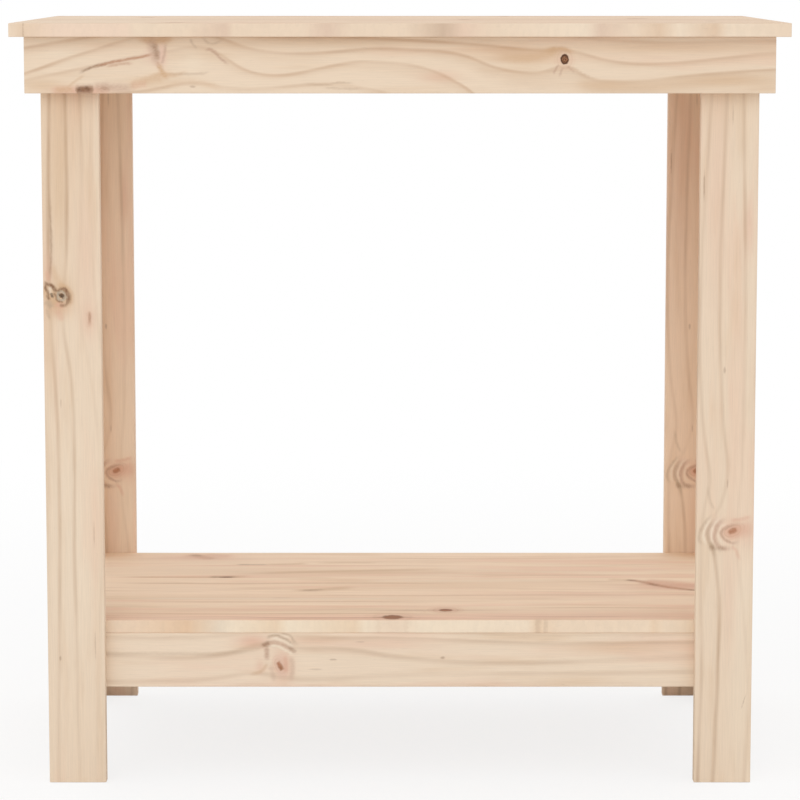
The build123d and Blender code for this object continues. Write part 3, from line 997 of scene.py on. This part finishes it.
# The shelf's pine is brighter than the rest: painted light against the shade that the tabletop casts on it.
shelf_pine_lit = pine("pine_shelf", cream=paint(248, 224, 198), rosy=paint(244, 211, 185), blush=0.5,
                  contrast=0.36)
edge_bands = pine("pine_edge_bands", banded=True)
inner_pine = pine("pine_inner", cream=paint(231, 208, 180), rosy=paint(226, 192, 164), blush=0.6)

FRAME_WOODS = (frame_pine, frame_ends)
INNER_WOODS = (inner_pine, frame_ends)

APRON_SCREWS_Z = (742, 772)
RAIL_SCREWS_Z = (114, 144)
LEG_SCREW_X, LEG_SCREW_Y = 333.5, 183.5
RAIL_SCREW_X, RAIL_SCREW_Y = 326, 176
CLEAT_X, CLEAT_SCREW_Z = 361, 776
TOP_UNDERSIDE, TOP_PLANK = 786, 83.333
SHELF_UNDERSIDE, SHELF_PLANK = 158, 82.4
TOP_CENTRES = [TOP_PLANK * (n - 2.5) for n in range(6)]
SHELF_CENTRES = [SHELF_PLANK * (n - 2) for n in range(5)]
TOP_BATTENS_X = (-207.333, 0, 207.333)
SHELF_BATTENS_X = (-170.5, 170.5)
SIDES = (("left", -1), ("right", 1))
ENDS = (("front", -1), ("back", 1))

# ---- aprons

board("front_apron", X, Y, (apron_pine, frame_ends), "apron_wood", guided_rings(APRON_LINES),
      step=4, cross=2.5, strokes=APRON_STROKES,
      knots=[knot(169, 763, 3.9, 4.9, dark=1.0, halo=0.35, sink=0.6, part=0.2)],
      marks=[mark(-324, 732, 9, 4.4, 0.5), mark(-213, 735, 4, 1.4, 0.3)],
      stains=[stain(-256, 739, 20, 7, tan=0.4), stain(-240, 747, 6, 5, tan=0.3),
              stain(-248, 783, 14, 6, tan=0.5), stain(-244, 766, 5, 13, rosy=0.4, pale=0.2),
              stain(-330, 775, 50, 8, tan=0.1, turn=0.2),
              stain(-213, 762, 12, 14, pale=0.3), stain(130, 765, 34, 7, tan=0.55),
              stain(157, 771, 10, 4, tan=0.5), stain(206, 736, 26, 5, tan=0.25),
              stain(260, 734, 60, 6, tan=0.25), stain(340, 741, 60, 5, tan=0.3),
              stain(280, 774, 120, 5, tan=0.35), stain(-366, 736, 26, 7, tan=0.5),
              stain(-60, 780, 120, 5, tan=0.3), stain(40, 745, 20, 6, rosy=0.4),
              stain(-325, 731, 30, 5, rosy=0.5), stain(330, 743, 50, 6, tan=0.2),
              # Painted light: this pale patch lightens the apron's top left, in the shade under the
              # tabletop's overhang.
              stain(-352, 772, 34, 10, pale=0.45)])
board("back_apron", X, Y, FRAME_WOODS, "apron_wood", pith_rings(11, 4.6, 760, 306, 0.012, 0.022),
      step=5, cross=3, knots=[knot(-140, 752, 7, 6, dark=0.4)])
for number, (side, away) in enumerate(SIDES):
    board(f"{side}_apron", Y, X, FRAME_WOODS, "apron_wood",
          pith_rings(20 + 7 * number, 4.6, 752 + 12 * number, away * 330, -0.02, 0.035),
          step=5, cross=3, knots=[knot(60 - 150 * number, 748 + 14 * number, 4.5, 4, dark=0.4)])

# ---- tabletop and shelf

PLANK_KNOTS = {
    1: [knot(-232, -218, 9, 6, 0.15)], 2: [knot(330, -112, 5, 4, 0.6)], 3: [knot(70, -24, 7, 5, 0.5)],
    4: [knot(262, 44, 12, 8, 0.1)], 5: [knot(-286, 134, 8, 6, 0.3)], 6: [knot(120, 206, 6, 5, 0.3)],
}
PLANK_TONES = (0.3, -0.7, 1.0, -0.2, -1.0, 0.7)
SHELF_TONES = (0.6, -0.3, -0.7, 0.4, -0.2)
SHELF_KNOTS = {1: [knot(-8, -190, 10.5, 12, dark=0.25, halo=0.3, part=0.3),
                   knot(49, -151, 7, 7, dark=0.35, halo=0.7, part=0.3)]}
SHELF_MARKS = {
    1: [mark(-8, -190, 24, 8, 0.3), mark(145, -205, 3.0, 3, 0.16), mark(154, -205, 3.0, 3, 0.16)],
    2: [mark(-130, -80, 14, 2, 0.2)],
    3: [mark(-99, -34, 9, 5, 0.2)],
    4: [mark(-196, 45, 7, 4, 0.5)],
    5: [mark(-238, 186, 10, 8, 0.25, -0.5)],
}
SHELF_STAINS = {
    1: [stain(-300, -185, 90, 26, rosy=0.4), stain(220, -180, 160, 24, rosy=0.45),
        stain(-40, -197, 260, 7, rosy=0.4), stain(-60, -150, 200, 14, tan=0.3)],
    2: [stain(-200, -80, 200, 16, tan=0.3), stain(200, -60, 140, 20, rosy=0.3)],
    3: [stain(300, -15, 50, 22, rosy=0.7), stain(60, 0, 160, 30, tan=0.3)],
    4: [stain(-60, 75, 150, 14, tan=0.35)], 5: [stain(-240, 170, 50, 20, rosy=0.5)],
}


def plank(name, number, last, wood, slot, rings, edge, **figure):
    """One plank of a glued panel: eased fully outside, hardly at a seam, and banded in front."""
    lip = (EDGE_EASE if number == 1 else SEAM_EASE, EDGE_EASE if number == last else SEAM_EASE)
    board(f"{name}_plank_{number}", X, Z, (wood, top_ends, edge_bands), slot, rings, eases=lip,
          step=7, cross=4, bands=edge if number == 1 else (), **figure)


for number, centre in enumerate(TOP_CENTRES, 1):
    plank("tabletop", number, 6, top_pine, "tabletop_wood",
          pith_rings(40 + 7 * number, 3.3, centre + (-1) ** number * (40 + 9 * number),
                     TOP_UNDERSIDE - 22 - 9 * number, 0.015 * (number - 3), 0.02),
          banding(TOP_EDGE), knots=PLANK_KNOTS[number], tone=PLANK_TONES[number - 1],
          stains=[stain(-330, centre, 110, 60, pale=0.3)],
          marks=[mark(-384, -249, 1.6, 3, 0.6), mark(-374, -249, 1.6, 3, 0.6)] if number == 1 else ())
for number, centre in enumerate(SHELF_CENTRES, 1):
    plank("shelf", number, 5, shelf_pine_lit, "shelf_wood",
          pith_rings(90 + 7 * number, 3.4, centre + (-1) ** number * (46 + 8 * number),
                     SHELF_UNDERSIDE - 26 - 8 * number, 0.012 * (number - 3), 0.02),
          # The shelf's front edge is raised by the lift: painted light against the shade of the tabletop
          # above it.
          banding(SHELF_EDGE, painted_light_lift=(8, 12, 11)), knots=SHELF_KNOTS.get(number, ()),
          tone=SHELF_TONES[number - 1], marks=SHELF_MARKS[number], stains=SHELF_STAINS[number],
          strokes=SHELF_STROKES[number])

# ---- legs

LEFT_LEG = dict(
    strokes=LEFT_LEG_STROKES,
    knots=[knot(518, -352, 2.4, 2.4, dark=0.9, halo=0.5, sink=0.5, part=0.0)],
    marks=[mark(495, -323, 7, 1.6, 0.3), mark(134, -358, 3, 1.5, 0.35), mark(405, -354, 6, 1, 0.2),
           mark(268, -321, 16, 1, 0.2), mark(148, -321, 18, 1, 0.2)],
    stains=[stain(492, -324, 18, 8, rosy=0.4), stain(545, -365, 18, 4, rosy=0.5),
            stain(505, -356, 9, 13, tan=0.45, rosy=0.3), stain(523, -363, 5, 3, pale=0.6),
            stain(520, -354, 20, 14, tan=0.5), stain(522, -352, 9, 9, tan=0.3),
            stain(640, -355, 90, 9, tan=0.3), stain(740, -340, 60, 30, tan=0.3, rosy=0.1),
            stain(660, -350, 110, 30, tan=0.22), stain(460, -366, 60, 5, tan=0.3),
            stain(250, -340, 150, 30, pale=0.25), stain(560, -326, 60, 10, rosy=0.3),
            # Painted light: this pale patch lightens the top of the inner edge, in the shade under the
            # apron.
            stain(700, -322, 40, 9, pale=0.35)])
RIGHT_LEG = dict(
    strokes=RIGHT_LEG_STROKES,
    knots=[knot(270, 349, 3.2, 5.2, dark=0.1, halo=0.8, turn=-0.45, part=0.0)],
    marks=[mark(252, 327, 4.5, 4, 0.2), mark(632, 315, 18, 1.2, 0.35),
           mark(440, 338.5, 4, 1.6, 0.3), mark(320, 343, 6, 1, 0.25),
           mark(706, 344, 11, 1, 0.2), mark(88, 363, 10, 1, 0.25, 0.3)],
    stains=[stain(271, 350, 9, 15, rosy=0.7), stain(262, 362, 10, 10, rosy=0.45),
            stain(276, 364, 8, 8, rosy=0.4), stain(268, 322, 18, 9, tan=0.2),
            stain(590, 362, 30, 5, rosy=0.45), stain(200, 347, 60, 8, rosy=0.3),
            stain(740, 334, 50, 24, tan=0.3), stain(240, 358, 260, 12, pale=0.35),
            stain(620, 328, 120, 12, rosy=0.3)])
BACK_LEG_APART = 682  # between the middles of a left and a right leg


def moved(face, by):
    """The same figure, on a board that stands by further to the right."""

    def shift(thing):
        if "points" in thing:
            return {**thing, "points": [(u, v + by) for u, v in thing["points"]]}
        return {**thing, "v": thing["v"] + by}

    return {key: [shift(thing) for thing in things] for key, things in face.items()}


for end, toward in ENDS:
    for side, away in SIDES:
        if end == "front" and side == "left":
            face = dict(LEFT_LEG, rings=guided_rings(LEFT_LEG_LINES))
        else:
            aside = -BACK_LEG_APART if side == "left" else 0
            face = dict(moved(RIGHT_LEG, aside), rings=guided_rings(RIGHT_LEG_LINES, aside))
        wood = leg_pine if end == "front" else back_pine_lit_and_warmed
        board(f"{end}_{side}_leg_face_board", Z, Y, (wood, frame_ends), "leg_wood", step=5, cross=2.5,
              sinks=[(2, -toward, height, away * LEG_SCREW_X) for height in APRON_SCREWS_Z], **face)
        board(f"{end}_{side}_leg_side_board", Z, X, FRAME_WOODS, "leg_wood",
              pith_rings(150 + away * 5 + toward * 11, 4.5, toward * (210 + 9 * away), away * 290,
                         0.01, 0.04),
              sinks=[(2, -away, height, toward * LEG_SCREW_Y) for height in APRON_SCREWS_Z])

# ---- lower rails, cleats and battens

FRONT_RAIL = dict(
    rings=guided_rings(RAIL_LINES), strokes=RAIL_STROKES,
    knots=[knot(-127, 122.5, 2.8, 4.8, dark=0.1, halo=0.6, turn=0.45, part=0.0)],
    marks=[mark(-141, 145, 4.5, 3.0, 0.2), mark(-71, 129.5, 5, 1.3, 0.3),
           mark(45, 131.5, 3.4, 1.8, 0.4), mark(-90, 119, 9, 1.1, 0.2),
           mark(-42, 148.5, 6, 1, 0.2)],
    stains=[stain(-124, 122, 10, 18, rosy=0.7), stain(-148, 122, 5, 9, rosy=0.4),
            stain(-90, 150, 30, 6, rosy=0.3), stain(230, 142, 60, 7, tan=0.35),
            stain(190, 107, 40, 5, tan=0.3), stain(-20, 146, 60, 5, rosy=0.3),
            stain(-156, 149, 18, 8, rosy=0.7), stain(-180, 108, 46, 7, pale=0.4)])
BACK_RAIL = dict(rings=pith_rings(170, 4.5, 90, 160, 0.01, 0.02))

for (end, toward), wood, facts in zip(ENDS, (rail_pine_lit, frame_pine), (FRONT_RAIL, BACK_RAIL)):
    board(f"{end}_lower_rail", X, Y, (wood, frame_ends), "rail_wood", step=4, cross=2.5,
          sinks=[(2, -toward, away * RAIL_SCREW_X, z) for _, away in SIDES for z in RAIL_SCREWS_Z],
          **facts)
for side, away in SIDES:
    board(f"{side}_lower_rail", Y, X, FRAME_WOODS, "rail_wood",
          pith_rings(180 + away, 4.5, 118, away * 290, 0.01, 0.02), step=5, cross=3,
          sinks=[(2, -away, toward * RAIL_SCREW_Y, z) for _, toward in ENDS for z in RAIL_SCREWS_Z])
    sinks = [(1, -1, centre, away * CLEAT_X) for centre in TOP_CENTRES[1:-1]]
    sinks += [(2, -away, seam, CLEAT_SCREW_Z) for seam in (-TOP_PLANK, 0, TOP_PLANK)]
    board(f"{side}_top_cleat", Y, X, INNER_WOODS, "batten_wood",
          pith_rings(190 + away, 3.5, 740, away * 330, 0.01, 0.02), sinks=sinks)
for number, centre in enumerate(TOP_BATTENS_X, 1):
    board(f"top_batten_{number}", Y, Z, INNER_WOODS, "batten_wood",
          pith_rings(200 + number, 3.5, centre + 30, 740, 0.01, 0.02),
          sinks=[(2, -1, one, centre) for one in TOP_CENTRES])
for number, centre in enumerate(SHELF_BATTENS_X, 1):
    board(f"shelf_batten_{number}", Y, Z, INNER_WOODS, "batten_wood",
          pith_rings(210 + number, 3.5, centre - 30, 110, 0.01, 0.02),
          sinks=[(2, -1, one, centre) for one in SHELF_CENTRES])

# ---- screws and dowels: zinc-plated steel, and a wood darker than the pine

FASTENERS = {
    "screws": cloudy("screw_steel", 900.0, paint(150, 152, 150), paint(188, 189, 186), (0.28, 0.46), 1.0),
    "dowels": cloudy("dowel_beech", 700.0, paint(206, 168, 128), paint(224, 190, 152), (0.5, 0.66)),
}
for node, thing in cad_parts.items():
    material = FASTENERS.get(node.split("_")[-1])
    if material:
        for place in thing.material_slots:
            place.material = material


# ---------------------------------------------------------------- floor, light and camera

WORLD_LEVEL = 0.93  # of the white that the camera sees
KEY_WATTS = 17.0
FLOOR_REACH, FLOOR_DROP = 12.0, 0.0005
FADE_FROM, FADE_TO = 0.6, 2.2  # from the middle of the floor, in metres
CAMERA_PLACE = (0, -3.7045, 0.8585)
CAMERA_DIP = 7.36  # degrees below level
CAMERA_LENS, CAMERA_SENSOR = 151.42, 36.0


def studio_floor():
    """A white floor that fades into the backdrop and keeps the bench's shadow."""
    g = Graph("floor_white")
    g.shader.inputs["Base Color"].default_value = (0.9, 0.89, 0.88, 1)
    g.shader.inputs["Roughness"].default_value = 0.9
    g.shader.inputs["Specular IOR Level"].default_value = 0.1
    glow = g.node("ShaderNodeEmission", {"Color": (1, 1, 1, 1), "Strength": 1.0}).outputs[0]
    place = g.node("ShaderNodeTexCoord").outputs["Object"]
    away = g.step(g.vector("LENGTH", place, (0, 0, 0)), FADE_FROM, FADE_TO)
    path = g.node("ShaderNodeLightPath").outputs
    seen = g.math("MAXIMUM", path["Is Camera Ray"], path["Is Glossy Ray"])
    share = g.math("MULTIPLY", seen, g.math("MULTIPLY_ADD", away, 0.2, 0.8))
    mixed = g.node("ShaderNodeMixShader", {0: share, 1: g.shader.outputs[0], 2: glow}).outputs[0]
    output = g.tree.nodes["Material Output"]
    g.tree.links.new(mixed, output.inputs["Surface"])
    mesh = bpy.data.meshes.new("floor")
    turns = ((-1, -1), (1, -1), (1, 1), (-1, 1))
    corners = [(FLOOR_REACH * x, FLOOR_REACH * y, -FLOOR_DROP) for x, y in turns]
    mesh.from_pydata(corners, [], [(0, 1, 2, 3)])
    mesh.materials.append(g.material)
    floor = bpy.data.objects.new("floor", mesh)
    bpy.context.scene.collection.objects.link(floor)


def studio_world():
    """Even light from all round, a little weaker than the white that the camera sees."""
    world = bpy.data.worlds.new("studio")
    bpy.context.scene.world = world
    world.use_nodes = True
    nodes, links = world.node_tree.nodes, world.node_tree.links
    background = nodes["Background"]
    background.inputs["Color"].default_value = (1, 1, 1, 1)
    path = nodes.new("ShaderNodeLightPath")
    seen = nodes.new("ShaderNodeMath")
    seen.operation = "MAXIMUM"
    links.new(path.outputs["Is Camera Ray"], seen.inputs[0])
    links.new(path.outputs["Is Glossy Ray"], seen.inputs[1])
    level = nodes.new("ShaderNodeMapRange")
    level.inputs["To Min"].default_value = WORLD_LEVEL
    level.inputs["To Max"].default_value = 1.0
    links.new(seen.outputs[0], level.inputs["Value"])
    links.new(level.outputs[0], background.inputs["Strength"])


def lamp(name, place, aim, size, watts):
    """A square soft box at a place, turned towards a point."""
    data = bpy.data.lights.new(name, "AREA")
    data.size = size
    data.energy = watts
    made = bpy.data.objects.new(name, data)
    made.location = place
    way = [aim[n] - place[n] for n in range(3)]
    flat = math.hypot(way[0], way[1])
    made.rotation_euler = (math.atan2(flat, -way[2]), 0, math.atan2(way[0], -way[1]) + math.pi)
    bpy.context.scene.collection.objects.link(made)


def studio_camera():
    """The photograph's view: straight on, from just above the tabletop."""
    data = bpy.data.cameras.new("camera")
    data.lens = CAMERA_LENS
    data.sensor_width = CAMERA_SENSOR
    camera = bpy.data.objects.new("camera", data)
    camera.location = CAMERA_PLACE
    camera.rotation_euler = (math.radians(90 - CAMERA_DIP), 0, 0)
    bpy.context.scene.collection.objects.link(camera)
    bpy.context.scene.camera = camera


studio_floor()
studio_world()
lamp("key", (-0.9, -3.0, 2.6), (0, 0, 0.45), 2.4, KEY_WATTS)
studio_camera()
bpy.context.scene.view_settings.view_transform = "Standard"
